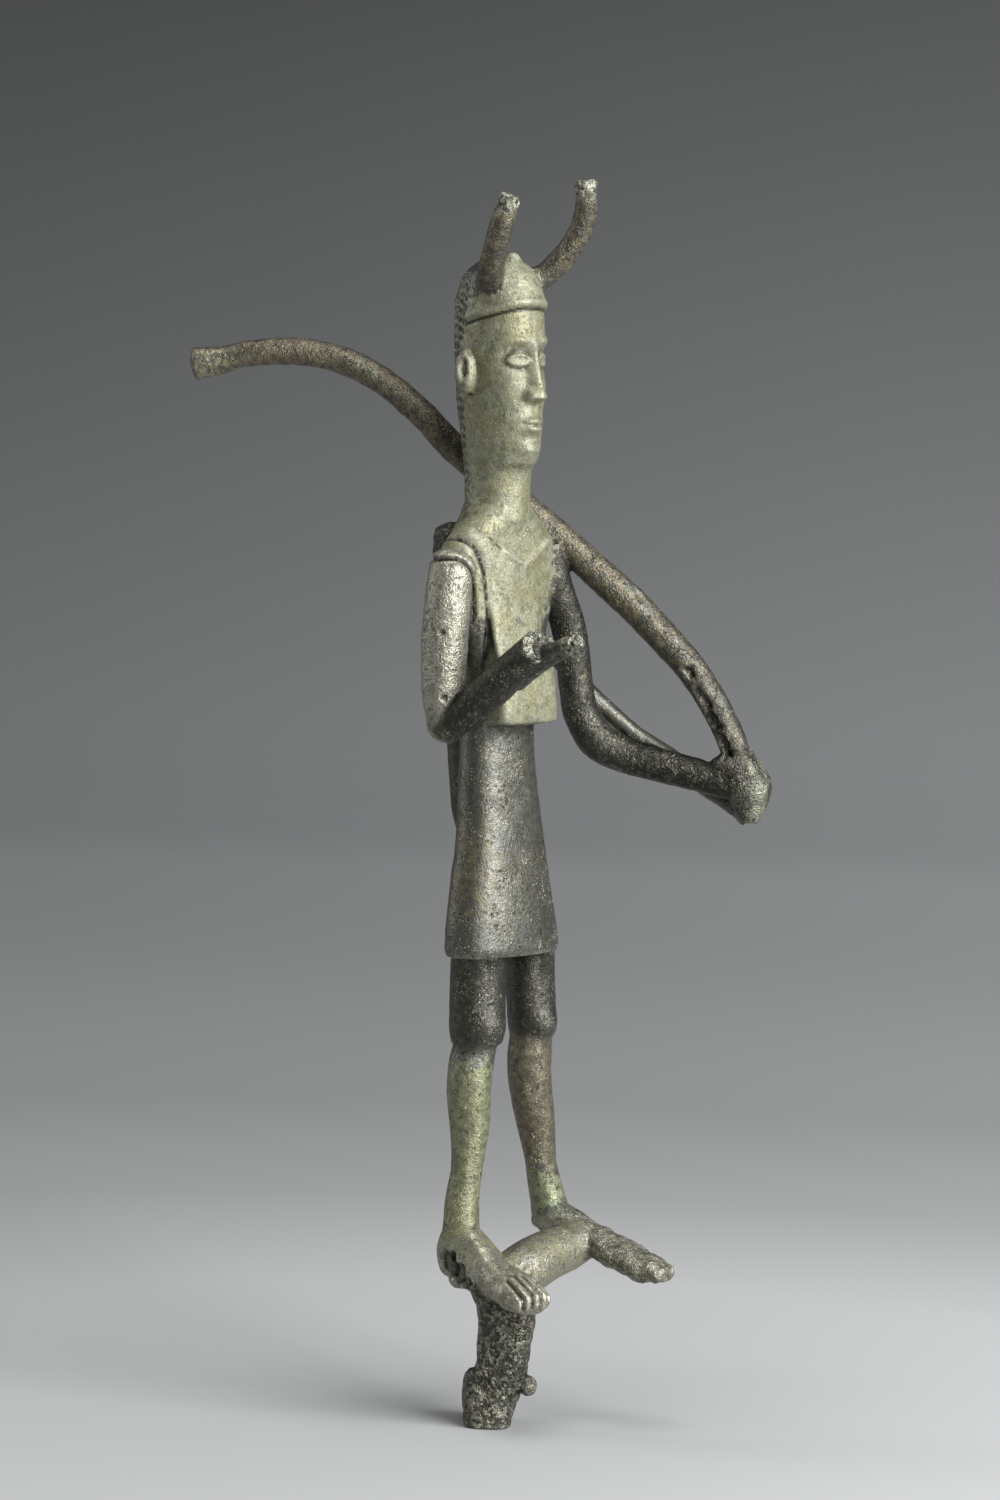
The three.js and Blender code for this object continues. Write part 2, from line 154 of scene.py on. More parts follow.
# The head
# A long head on a straight neck, modelled as one column with it. The face is a calm one
# on the usual proportions: thirds from cap to brow, nose and chin, and an eye's width
# between the eyes. Its features were pressed and cut in the wax.
neck_foot, chin, mouth, nose_foot, eyes, brow, cap_rim = 185, 193, 200.5, 205, 213.2, 216.8, 224.8
eye_spread = 3.3


def bump(distance, half_width):
    """1 in the middle, falling softly to nearly 0 at about twice the half width."""
    return np.exp(-((distance / half_width) ** 2))


def smooth(value, low, high):
    """0 below low, 1 above high, and a soft step between them."""
    t = np.clip((value - low) / (high - low), 0, 1)
    return t * t * (3 - 2 * t)


def face(x, y, z):
    """How far the face stands out from the plain column of the head."""
    side = np.abs(x) - eye_spread
    down = np.clip((brow + 0.6 - z) / (brow - nose_foot), 0, 1)
    ridge = (0.5 + 2.5 * down**1.2) * smooth(z, nose_foot - 0.6, nose_foot + 0.9)
    nose = ridge * smooth(brow + 2.5 - z, 0, 2.5) * bump(x, 0.95 + 0.75 * down)
    wings = 0.9 * bump(np.abs(x) - 1.75, 0.75) * bump(z - nose_foot - 1.3, 1.2)
    arch = brow + 0.3 - 0.07 * side**2
    brows = 0.75 * bump(z - arch, 1.1) * bump(side - 0.3, 3.1)
    socket = -1.15 * bump(z - eyes - 0.2, 2.2) * bump(side, 2.6)
    eyeball = 1.2 * np.sqrt(np.clip(1 - (side / 2.1) ** 2 - ((z - eyes) / 1.5) ** 2, 0, 1))
    almond = 1 - (side / 2.3) ** 2
    lid_above = 0.42 * bump(z - eyes - 1.15 * almond, 0.33) * smooth(almond, -0.15, 0.2)
    lid_below = 0.3 * bump(z - eyes + 0.95 * almond, 0.3) * smooth(almond, -0.15, 0.2)
    cheek = 0.5 * bump(np.abs(x) - 4.7, 2.2) * bump(z - 207.6, 3)
    lip_line = mouth - 0.12 * np.cos(x * 1.1)
    upper_lip = 0.75 * bump(z - lip_line - 0.75 - 0.12 * np.cos(x * 2.2), 0.62) * bump(x, 2.3)
    lower_lip = 0.85 * bump(z - lip_line + 0.8, 0.75) * bump(x, 1.95)
    parting = -0.4 * bump(z - lip_line, 0.24) * bump(x, 2.5)
    muzzle = 0.45 * bump(z - mouth, 3) * bump(x, 3.2)
    channel = -0.22 * bump(x, 0.55) * bump(z - 203.2, 1.1)
    under_lip = -0.45 * bump(z - mouth + 2.7, 0.9) * bump(x, 2.4)
    chin_ball = 0.75 * bump(z - chin - 2.3, 1.7) * bump(x, 2.7)
    features = [nose, wings, brows, socket, eyeball, lid_above, lid_below, cheek, upper_lip,
                lower_lip, parting, muzzle, channel, under_lip, chin_ball]
    return sum(features) * smooth(-y, 2, 6.5)


neck_half, neck_depth = 6.1, 7.8
stack("head", [
    level(neck_foot - 4, neck_half, neck_half, neck_depth),
    level(neck_foot, neck_half, neck_half, neck_depth),
    level(189, neck_half, neck_half, neck_depth),
    level(191.6, 6.1, 6.6, neck_depth, 2.1),
    level(chin, 6.1, 8.1, 8.2, 2.1),
    level(195.4, 6.2, 9, 8.4, 2.1),
    level(199, 6.6, 9.4, 8.8, 2.1),
    level(204, 7.1, 9.5, 9.4, 2.1),
    level(210, 7.5, 9.5, 9.8, 2.1),
    level(216, 7.8, 9.6, 9.9, 2.1),
    level(cap_rim, 7.7, 9.4, 9.5, 2.1),
], sides=300, rings=280, relief=face)

# The ears
# Small simple ears, as high as the space from brow to nose. They were pressed on the wax
# as balls, and hollowed.
ear_height = (brow + nose_foot) / 2
ear_spread, ear_set_back, ear_halves = 8, 1.4, [2.3, 2.5, 4.4]


def ball(name, centre, halves, steps=40):
    """Wax ball with its own half size along each axis."""
    rise = np.linspace(-np.pi / 2, np.pi / 2, steps)[1:-1, None]
    turn = np.linspace(0, 2 * np.pi, steps, endpoint=False)[None]
    unit = np.stack([np.cos(rise) * np.cos(turn), np.cos(rise) * np.sin(turn),
                     np.broadcast_to(np.sin(rise), (steps - 2, steps))], axis=-1)
    close_rings(name, unit * halves + centre)


for side, name in (-1, "right ear"), (1, "left ear"):
    ball(name, [side * ear_spread, ear_set_back, ear_height], ear_halves)

# The cap and horns
# A close cap with a low rim over the brow and a knob in front, and two horns that curve
# out, forward and up. Both horn tips are broken off, so they end in rough faces.
cap_top = 233.4
stack("cap", [
    level(cap_rim - 2, 7.6, 9.3, 9.4, 2.1),
    level(cap_rim, 7.75, 9.5, 9.5, 2.1),
    level(227.5, 7.1, 8.9, 8.7, 2.1),
    level(230.2, 6.2, 7.8, 7.7, 2),
    level(232.4, 3.9, 5.6, 4.6, 2),
    level(cap_top, 1, 1.2, 1.2, 2),
], rings=80)
ball("cap knob", [0, -3.6, 232.4], [1.6, 1.9, 2])


def at(x, y, z, wide, deep=None, square=2.0):
    """Ring of a limb: its middle, half width, half depth and squareness."""
    return x, y, z, wide, wide if deep is None else deep, square


def sweep(name, stations, across, sides=72, rings=120, domes=(0, 0)):
    """Wax part along a curved middle line, with rings square to the line and domed ends."""
    place = np.linspace(0, 1, rings + 1)
    table = along(stations, place)
    middle = table[:, :3]
    step = 0.01
    after = along(stations, np.minimum(place + step, 1))
    before = along(stations, np.maximum(place - step, 0))
    ahead = (after - before)[:, :3]
    ahead /= np.linalg.norm(ahead, axis=1, keepdims=True)
    first = np.array(across, float) - ahead * (ahead @ np.array(across, float))[:, None]
    first /= np.linalg.norm(first, axis=1, keepdims=True)
    second = np.cross(ahead, first)
    turn = np.linspace(0, 2 * np.pi, sides, endpoint=False)[None]
    c, s = rounded(turn, table[:, 5:6])
    wide, deep = (c * table[:, 3:4])[:, :, None], (s * table[:, 4:5])[:, :, None]
    loops = list(middle[:, None] + wide * first[:, None] + deep * second[:, None])
    spokes = loops[0] - middle[0], loops[-1] - middle[-1]
    lifts = np.linspace(0.1, 0.98, 10) * np.pi / 2
    if domes[0]:
        start = [middle[0] + spokes[0] * math.cos(a) - ahead[0] * domes[0] * math.sin(a) for a in lifts[::-1]]
        loops = start + loops
    if domes[1]:
        loops += [middle[-1] + spokes[1] * math.cos(a) + ahead[-1] * domes[1] * math.sin(a) for a in lifts]
    close_rings(name, np.array(loops))


horn_half = 2.6
horn_line = [
    (4.4, -1.8, 228.4, 1.2), (7.4, -4.3, 229.5, 1.02), (9.8, -7.5, 233.1, 0.97),
    (11.2, -9.9, 236.6, 0.93), (11.6, -11.9, 240.6, 0.88), (10.8, -13.4, 245.2, 0.82),
]
left_horn_extra = 3.2
right_horn_narrower = 0.95
for side, name in (-right_horn_narrower, "right horn"), (1, "left horn"):
    stations = [at(side * x, y, z, horn_half * size) for x, y, z, size in horn_line]
    if side > 0:
        stations.append(at(10.6, -13.3, 245.2 + left_horn_extra, horn_half * 0.76))
    sweep(name, stations, [0, 1, 0])

# The arms
# The right arm is bent up at the elbow, and its hand is broken off behind the thumb. The
# left one hangs to the elbow and reaches out to a lumpy fist round the grip of the bow.
upper_arm_half, forearm_half, left_arm_half = 4.6, 3.7, 3.5


def cut_off(name, facing, through, ahead):
    """Moves what lies beyond a plane back on to it, along the line of the limb."""
    points, faces = wax[name]
    beyond = np.clip((points - through) @ facing, 0, None) / (ahead @ facing)
    wax[name] = points - beyond[:, None] * ahead, faces


sweep("right upper arm", [
    at(-14, -0.6, 172.2, upper_arm_half * 0.98),
    at(-15.2, -0.7, 166, upper_arm_half),
    at(-15.7, -0.2, 157, upper_arm_half),
    at(-15.7, -0.1, 148, upper_arm_half * 0.96),
    at(-15.2, -0.4, 141.6, upper_arm_half * 0.88),
], [1, 0, 0], domes=(3.6, 4))
break_facing, break_through = np.array([-0.13, -0.86, 0.5]), np.array([-9.5, -20.6, 157.8])
sweep("right forearm", [
    at(-15.4, -0.1, 141.2, forearm_half),
    at(-14.2, -6, 145, forearm_half),
    at(-12.4, -12, 150.1, forearm_half * 0.98),
    at(-10.2, -18.4, 155.8, forearm_half * 0.93),
    at(-8.4, -23.6, 160.4, forearm_half * 0.9),
], [1, 0, 0], domes=(2, 0))
cut_off("right forearm", break_facing, break_through, np.array([1.8, -5.2, 4.6]))
sweep("right thumb", [
    at(-10.4, -14.5, 150.4, 2.2),
    at(-9, -20.1, 154.5, 2.2),
    at(-7.5, -24.7, 157.1, 2),
    at(-6.6, -27.8, 158.7, 1.7),
], [1, 0, 0], domes=(0, 1.1))
sweep("left arm", [
    at(12.4, -0.6, 176, left_arm_half),
    at(13.3, -1.2, 171.4, left_arm_half * 1.02),
    at(14.3, -1.7, 166.8, left_arm_half),
    at(17.4, -2.4, 158.6, left_arm_half),
    at(18.3, -3.1, 149, left_arm_half),
    at(19.3, -4.5, 141, left_arm_half * 1.06),
    at(22.3, -7.7, 135.4, left_arm_half * 1.08),
    at(28.8, -15.2, 131.9, left_arm_half),
    at(35.3, -23.1, 129.2, left_arm_half * 0.93),
    at(39.4, -28, 127.6, left_arm_half * 0.9),
], [1, -1, 0], rings=260, domes=(0, 1))
sweep("fist", [
    at(37, -25.2, 129.4, 3.2, 3.5),
    at(40, -28.8, 130.4, 4.1, 4.7, 2.3),
    at(41.2, -30.2, 125.8, 4, 4.5, 2.3),
    at(41.4, -30.6, 120.6, 2.8, 3.1),
], [1, 1, 0], domes=(1.4, 1.2))

# The bow and its string
# The bow's grip end is in the left fist. It runs over the shoulder and behind the neck to
# a knob, a little thinner at that end. The string follows the forearm and ends in the back.
bow_half, string_half = 3.05, 1.8
bow_line = [
    (41.2, -30, 124, 0.92), (38.7, -27.2, 136.8, 0.95), (34.3, -22.4, 148.9, 1.02),
    (27.4, -14.7, 160.9, 1.08), (20.6, -7, 170.7, 1.09), (14.2, 0, 179.1, 1.03),
    (7.5, 7.3, 187.6, 0.96), (1.2, 14.3, 195.4, 0.94), (-3.4, 19.4, 202.8, 0.9),
    (-8.8, 25.4, 209.3, 0.9), (-14.2, 31.3, 213.2, 0.9), (-19.6, 37.3, 214.8, 0.9),
    (-25, 43.3, 214.7, 0.86), (-28.6, 47.4, 213.8, 0.84),
]
sweep("bow", [at(x, y, z, bow_half * size) for x, y, z, size in bow_line], [1, 1, 0], rings=400)
sweep("bow knob", [
    at(-28, 46.7, 213.8, 2.5),
    at(-30.8, 49.7, 213, 2.9),
    at(-33.7, 52.8, 212.4, 3.4),
], [1, 1, 0], domes=(0, 1.2))
string_line = [
    (41.4, -29.2, 120.9, 0.9), (39.9, -24.8, 124.2, 1), (37.4, -20.2, 127.4, 1),
    (34.6, -15.6, 132.4, 1), (29.7, -9.8, 137.1, 1), (26.6, -6.2, 141, 1), (23, -2, 146.4, 1),
    (18, 1.9, 153.2, 1), (12.6, 4.4, 159, 1), (7.5, 5.2, 163.6, 1),
]
sweep("string", [at(x, y, z, string_half * size) for x, y, z, size in string_line],
      [1, 1, 0], sides=48, rings=260, domes=(0.8, 0.8))

# The quiver
# A tapered case down the back with a round top, seen only beside the right shoulder and
# below the elbow, so the rest of it is plain.
sweep("quiver", [
    at(-1.9, 7.3, 119.4, 1.8, 2.6, 2.4),
    at(-1.8, 7.6, 124.4, 2.9, 3.3, 2.4),
    at(-1.7, 7.7, 135, 3.6, 3.7, 2.6),
    at(-3.2, 7.6, 150, 4.1, 3.9, 2.6),
    at(-4.8, 7.4, 166, 4.2, 3.9, 2.6),
    at(-6.1, 7.3, 178.9, 3.5, 3.8, 2.3),
], [1, 0, 0], rings=160, domes=(1, 2.2))

# The legs and feet
# Bare legs with a low step at each knee, on long feet. The right foot keeps its toes, and
# the left one is eaten away to a rough blade.
thigh_half, calf_half, ankle_half, knee_height = 5.7, 4.4, 3.2, 77


def leg(side, line, thigh):
    """Leg along a line from hip to ankle, with a step where the thigh ends at the knee."""
    (hip_x, _, hip_z), knee = line[0], line[1]
    sweep(f"{side} thigh", [
        at(*line[0], thigh),
        at((hip_x + knee[0]) / 2, 0, (hip_z + knee[2]) / 2, thigh * 0.99),
        at(knee[0], knee[1], knee_height + 3, thigh * 0.97),
        at(knee[0], knee[1], knee_height + 0.4, thigh * 0.91),
    ], [1, 0, 0], rings=60, domes=(0, 0.9))
    sizes = [calf_half * s for s in (0.98, 1.02, 1, 0.9)] + [ankle_half * s for s in (1, 1.05, 1.2)]
    sweep(f"{side} shin", [at(*p, size) for p, size in zip(line[1:], sizes)], [1, 0, 0])


leg("right", [
    (-5.8, 0, hem + 3), (-6.8, -0.2, knee_height + 1), (-8.1, 0, 73), (-8.6, 0.2, 67),
    (-8.4, 0.2, 59.5), (-9.4, 0, 52), (-10.4, 0.2, 46), (-10.7, 0.4, 38),
], thigh_half)
leg("left", [
    (8.5, 0, hem + 3), (8.8, -0.2, knee_height + 1), (8.4, 0, 73), (8.8, 0.2, 67.6),
    (10.5, 0.2, 58.6), (11.6, 0, 51.6), (12.6, 0, 47), (13.6, -0.8, 40.6),
], thigh_half * 0.88)


def foot(side, heel, heading, sections):
    """Foot of sections from the heel: distance, half width, sole and instep."""
    ahead_x, ahead_y = math.sin(heading), -math.cos(heading)
    sweep(f"{side} foot", [
        at(heel[0] + ahead_x * distance, heel[1] + ahead_y * distance, (sole + instep) / 2,
           wide, (instep - sole) / 2, 2.5)
        for distance, wide, sole, instep in sections
    ], [1, 0, 0], domes=(1, 0.8))


right_heel, right_heading = (-10.6, 3.9), math.radians(-4)
foot("right", right_heel, right_heading, [
    (0, 3, 29.8, 38), (3.5, 3.8, 28, 41.4), (8, 3.8, 27.8, 39.6), (13, 4, 27.6, 36.2),
    (18.4, 4.6, 27, 33.6), (22.6, 4.6, 26, 31.6), (25.6, 4, 25.6, 30),
])
foot("left", (13, 1.8), math.radians(6), [
    (0, 2.2, 37, 41), (3.2, 3.2, 35.2, 43), (7.4, 3.6, 34.4, 41.8), (13.4, 4, 33.4, 39.3),
    (20.4, 4.2, 31.2, 36.6), (27.4, 4.2, 29, 34.7), (32.3, 3.1, 29.6, 32.8),
])

# The casting bar and stem
# Bronze that filled the runner between the feet and the sprue below them. The sprue was
# broken from the pouring cup, so it is rough all over and stands on a flat end.
bar_half = 4.7
sweep("bar", [
    at(-11, -11, 28.4, bar_half * 1.1),
    at(-5, -10.6, 31.8, bar_half * 1.14),
    at(2.5, -10.2, 33.9, bar_half * 1.08),
    at(8.5, -10, 34.8, bar_half),
    at(14, -9.8, 36.2, bar_half * 0.9),
], [0, 1, 0], domes=(2, 2))
stack("stem block", [
    level(0, 4.6, 6.8, 7, 3, -0.2),
    level(1, 5, 7.2, 7.4, 3, -0.2),
    level(6.4, 5.5, 7.4, 7.6, 2.8),
    level(9.6, 5.1, 7, 6.6, 2.6),
    level(11.4, 4, 6.4, 4.6, 2.4, 0, -1),
], rings=60)
stack("stem neck", [
    level(5, 4.6, 4.4, 4.4, 2.4, 1, -2),
    level(9.6, 5.1, 4.8, 4.8, 2.4, 2, -2.6),
    level(15, 5.4, 4.8, 4.8, 2.4, 2.5, -3.6),
    level(20, 5.5, 4.8, 4.8, 2.4, 2.8, -4.8),
    level(25, 6, 5, 5, 2.3, 2.8, -6),
    level(29.4, 7.6, 5.4, 5.4, 2.2, 1.6, -6.8),
])
ball("stem stub", [7.4, -4.4, 8.8], [2, 1.9, 2.2])
corner_turn = np.array(Matrix.Rotation(math.radians(-45), 3, "Z"))
for name in "stem block", "stem neck", "stem stub":
    points, faces = wax[name]
    wax[name] = upright(points @ corner_turn.T), faces

# The casting
# Pouring the bronze turns all the wax parts into one skin with soft joins between them.
# It is skinned fine enough to hold lids, toes and pits, and thinned out at the end.
voxel = 0.3


def points_of(mesh, what="vertices", key="co"):
    """Points of a mesh, or other values of three numbers each, as rows."""
    items = getattr(mesh, what)
    flat = np.empty(len(items) * 3, np.float32)
    items.foreach_get(key, flat)
    return flat.reshape(-1, 3).astype(float)


def apply_modifiers(thing):
    """Replaces an object's mesh by what its modifiers make of it."""
    graph = bpy.context.evaluated_depsgraph_get()
    mesh = bpy.data.meshes.new_from_object(thing.evaluated_get(graph))
    thing.modifiers.clear()
    thing.data = mesh


def cast(parts):
    """One closed skin round all the wax parts, with quads about one voxel wide."""
    points, faces, offset = [], [], 0
    for part_points, part_faces in parts:
        points.append(part_points)
        faces += [[i + offset for i in face] for face in part_faces]
        offset += len(part_points)
    mesh = bpy.data.meshes.new("wax")
    mesh.from_pydata(np.vstack(points).tolist(), [], faces)
    thing = bpy.data.objects.new("statuette_casting", mesh)
    bpy.context.scene.collection.objects.link(thing)
    remesh = thing.modifiers.new("skin", "REMESH")
    remesh.mode = "VOXEL"
    remesh.voxel_size = voxel
    apply_modifiers(thing)
    return thing


def nearest_part(points):
    """Name of the wax part nearest to each point."""
    names = list(wax)
    sample_step = 11
    samples = [(name, p) for name in names for p in wax[name][0][::sample_step]]
    tree = kdtree.KDTree(len(samples))
    for i, (_, p) in enumerate(samples):
        tree.insert(p, i)
    tree.balance()
    owner = np.array([names.index(name) for name, _ in samples])
    nearest = np.array([tree.find(p)[1] for p in points])
    return np.array(names)[owner[nearest]]


def smoothed(values, rounds):
    """Values of the skin's points, each evened out with those next to it."""
    for _ in range(rounds):
        total = np.zeros(len(values))
        for here, there in links:
            total += np.bincount(here, values[there], len(values))
        values = 0.4 * values + 0.6 * total / link_count
    return values


statuette = cast(wax.values())
skin = points_of(statuette.data)
part = nearest_part(skin)
edges = np.empty(len(statuette.data.edges) * 2, np.int32)
statuette.data.edges.foreach_get("vertices", edges)
first, second = edges.reshape(-1, 2).T
links = [(first, second), (second, first)]
link_count = np.maximum(np.bincount(edges, minlength=len(skin)), 1)

# The wax is smoothed over where the neck stands on the shoulders
x, y, z = skin.T
neck_seam = smooth(z, 170, 174) * smooth(-z, -188, -184) * smooth(-np.abs(x), -9, -7) * smooth(-y, -4, 0)
neck_rounds = 14
evened = np.stack([smoothed(values, neck_rounds) for values in skin.T], axis=1)
skin += (evened - skin) * neck_seam[:, None]
statuette.data.vertices.foreach_set("co", skin.astype(np.float32).ravel())
statuette.data.update()
normal = points_of(statuette.data, "vertex_normals", "vector")

# The cold work
# Lines cut in the wax and sharpened on the bronze: the edges of the dress over the right
# shoulder, the neckline, the cap's rim, hair in short strokes, ears and toes. The hem and
# the knees only swell a little.
cell_mix, seed_mix, stir = np.array([374761393, 668265263, 1440662683]), 1274126177, 1103515245


def lattice(cells, seed):
    """Random number from 0 to 1 for each whole-number cell."""
    mixed = cells @ cell_mix + seed * seed_mix
    mixed = (mixed ^ (mixed >> 13)) * stir
    return ((mixed ^ (mixed >> 16)) & 0xFFFFFF) / 0xFFFFFF


def noise(points, size, seed):
    """Smooth random values from -1 to 1 with lumps of about one size in millimetres."""
    grid = points / size
    cell = np.floor(grid).astype(np.int64)
    f = grid - cell
    f = f * f * (3 - 2 * f)
    total = 0
    for corner in itertools.product((0, 1), repeat=3):
        weight = np.prod(np.where(corner, f, 1 - f), axis=1)
        total = total + weight * lattice(cell + np.array(corner), seed)
    return total * 2 - 1


def on(*names):
    """1 on the skin of the named wax parts, 0 elsewhere."""
    return np.isin(part, names).astype(float)


def line(distance, half_width):
    """Rounded groove: 1 on the line, 0 beyond its half width."""
    return smooth(-np.abs(distance), -half_width, 0)


def off_route(route):
    """Distance of each point of the skin from a line of points, seen from the front."""
    nearest = np.full(len(skin), 1e9)
    seen = skin[:, [0, 2]]
    for start, end in zip(np.array(route[:-1]), np.array(route[1:])):
        run = end - start
        along_run = np.clip((seen - start) @ run / (run @ run), 0, 1)
        nearest = np.minimum(nearest, np.linalg.norm(seen - start - along_run[:, None] * run, axis=1))
    return nearest


# No line is drawn quite straight
wander = noise(skin, 5, 11) * 0.35

# The sleeve stands a little above the top of the right arm, up to an oval armhole line
armhole_middle, armhole_wide, armhole_high = (-17.5, 163.5), 6.9, 10.8
sleeve_rise, armhole_depth = 0.45, 0.55
oval = np.hypot((x - armhole_middle[0]) / armhole_wide, (z - armhole_middle[1]) / armhole_high)
off_armhole = (oval - 1) * 8.5 + wander
on_shoulder = on("tunic", "plate", "right upper arm")
near_shoulder = smooth(z, 160.5, 163) * smooth(-x, 7, 9) * on_shoulder
armhole_cut = near_shoulder * line(off_armhole + 0.1, 0.45)
sleeve_edge = smooth(off_armhole, -0.1, 0.5) * smooth(-off_armhole, -5, -2)
tooling = near_shoulder * sleeve_rise * sleeve_edge - armhole_depth * armhole_cut

# The chest panel ends in a deep line that runs over the shoulder and down beside the arm
panel_line = [(-12.7, 177.8), (-11.9, 177.2), (-11, 176.4), (-10.1, 174.1),
              (-9.1, 170.9), (-8.5, 165.8), (-7.9, 161.2), (-8.3, 148)]
panel_depth = 0.9
panel_reach = on_shoulder * smooth(-y, -4, -3) * smooth(z, 149, 160)
panel_cut = line(off_route(panel_line) + wander * 0.3, 0.6) * panel_reach
tooling -= panel_depth * panel_cut

# The neckline is a thin cut at the right shoulder that turns into a low ridge
neckline_middle, neckline_height, neckline_depth, ridge_rise = 1.5, 172.6, 0.35, 0.4
off_middle = x - neckline_middle
neckline = z - neckline_height - 0.45 * np.abs(off_middle) - 0.02 * off_middle**2 + wander * 0.5
on_breast = on("tunic", "plate", "head") * smooth(-y, 0, 1) * smooth(-np.abs(x), -10.5, -9)
neck_cut = line(neckline, 0.35) * on_breast * smooth(-x, 3.6, 5)
neck_ridge = bump(neckline, 0.6) * on_breast * smooth(x, -5, -3)
tooling += ridge_rise * neck_ridge - neckline_depth * neck_cut

# The lower edge of the chest plate is rounded
edge_round = 0.8
tooling -= on("plate") * edge_round * smooth(plate_hem + 1.5 - z, 0, 1.5) ** 2

# The hem has a low roll, with a faint hollow above it
hem_rise = z - hem
tooling += on("tunic") * (0.16 * bump(hem_rise - 1.1, 1.3) - 0.05 * bump(hem_rise - 3.1, 0.8))

# The knees swell in front above the step
knee_swell = 0.8
for side, knee in ("right", (-6.8, -5.5, 81)), ("left", (8.8, -5, 80)):
    away = (skin - knee) / [3.6, 3, 2.4]
    tooling += knee_swell * bump(np.linalg.norm(away, axis=1), 1) * on(f"{side} thigh")

# The hair is short slanting cuts, staggered in columns over the back of the head
cut_wide, cut_long, cut_depth, hair_rise = 0.95, 1.8, 0.32, 0.05
around = (np.arctan2(x, y) * 9 + noise(skin, 4, 5) * 0.3) / cut_wide
column = np.floor(around).astype(np.int64)
down = z / cut_long + lattice(np.stack([column] * 3, axis=1), 7)
across_cut, along_cut = around - column - 0.5, down - np.floor(down) - 0.5
slant = np.where(column % 2 == 0, 0.5, 0.15)
cut = np.clip(1 - ((across_cut - slant * along_cut) / 0.42) ** 2 - (along_cut / 0.5) ** 2, 0, None)
hair_front = np.interp(z, [186, 205, 207, 215, 218, 226], [3.2, 3.6, 4.6, 4.4, 2.2, 1.4]) + wander
hair = smooth(y - hair_front, -0.3, 0.3) * smooth(z, 185.5, 187.5) * smooth(-z, -232.5, -230)
hair = hair * on("head", "cap")
tooling += hair * (hair_rise - cut_depth * cut)

# The ears are hollowed inside a raised rim
ear_depth = 1.1
in_ear = smooth(1 - np.hypot((y - 0.6) / 1.3, (z - ear_height - 0.6) / 2.7), 0, 0.5)
tooling -= ear_depth * in_ear * smooth(np.abs(x), 8.8, 9.6) * on("right ear", "left ear")

# The cap's rim is a roll with a line under it, higher over the brow than at the back
rim_rise = z - cap_rim + 0.6 + 0.27 * (y + 9.5)
on_cap = on("cap", "head") * (1 - hair)
rim_cut = line(rim_rise + 0.9, 0.5) * on_cap
tooling += on_cap * (0.15 * smooth(rim_rise, -0.8, 0) + 0.45 * bump(rim_rise - 0.5, 0.9)) - 0.35 * rim_cut

# The toes of the right foot are parted by short fanned grooves
toe_ahead = np.array([math.sin(right_heading), -math.cos(right_heading)])
toe_side = np.array([math.cos(right_heading), math.sin(right_heading)])
from_heel = skin[:, :2] - right_heel
along_foot, across_foot = from_heel @ toe_ahead, from_heel @ toe_side
toe_start, toe_pitch, toe_fan = 19, 1.8, 0.02
for groove in -1.5, -0.5, 0.5, 1.5:
    off_groove = across_foot - groove * toe_pitch * (1 + toe_fan * (along_foot - toe_start)) + wander * 0.6
    begins = toe_start + 0.6 * abs(groove)
    reach = smooth(along_foot, begins, begins + 1.8) * on("right foot") * smooth(z, 26.2, 27.4)
    tooling -= reach * (0.9 * line(off_groove, 0.6) - 0.12)

# The wear
# Two thousand years in the ground: an uneven skin with casting pits, gouges along the bow,
# rough breaks at the hand and the horns, and a granular crust on stem, fist and left foot.


def pits(points, size, share, seed):
    """Round hollows in a share of the cells of one size: 0 outside, 1 at the middle."""
    grid = points / size
    cell = np.floor(grid).astype(np.int64)
    chosen = lattice(cell, seed) < share
    middle = 0.35 + 0.3 * np.stack([lattice(cell, seed + i) for i in (1, 2, 3)], axis=1)
    radius = 0.18 + 0.22 * lattice(cell, seed + 4)
    away = np.linalg.norm(grid - cell - middle, axis=1) / radius
    return chosen * np.clip(1 - away**2, 0, None)


def near(name, end, reach):
    """1 on a wax part near one of its ends, fading over a reach in millimetres."""
    return on(name) * smooth(-np.linalg.norm(skin - end, axis=1), -reach, -reach * 0.6)


stem, fist, bar = on("stem block", "stem neck", "stem stub"), on("fist"), on("bar")
bow, knob, tunic = on("bow"), on("bow knob"), on("tunic")
thighs, horns = on("right thigh", "left thigh"), on("left horn", "right horn")
right_shin, left_shin = on("right shin"), on("left shin")
right_foot, left_foot = on("right foot"), on("left foot")
limbs = on("bow", "left arm", "right forearm", "right upper arm", "left horn", "right horn")

break_rise = (skin - break_through) @ break_facing / np.linalg.norm(break_facing)
forearm_break = on("right forearm") * smooth(break_rise, -0.8, -0.25)
horn_breaks = on("left horn") * smooth(z, 244, 247.6) + on("right horn") * smooth(z, 241, 244.4)
breaks = np.clip(forearm_break + near("right thumb", (-6.6, -28, 158.8), 4) + horn_breaks, 0, 1)
crusted = (stem + 0.3 * fist + 0.85 * left_foot * smooth(-y, 2, 8) + on("quiver") * smooth(z, 168, 173)
           + 0.5 * near("bow knob", (-33.9, 53, 212.3), 4.5) + 0.5 * right_foot * smooth(-z, -29.5, -27.5))
crusted = np.clip(crusted + 0.7 * breaks, 0, 1)
calm = 1 - 0.7 * on("head", "plate") * smooth(-y, 3, 5)

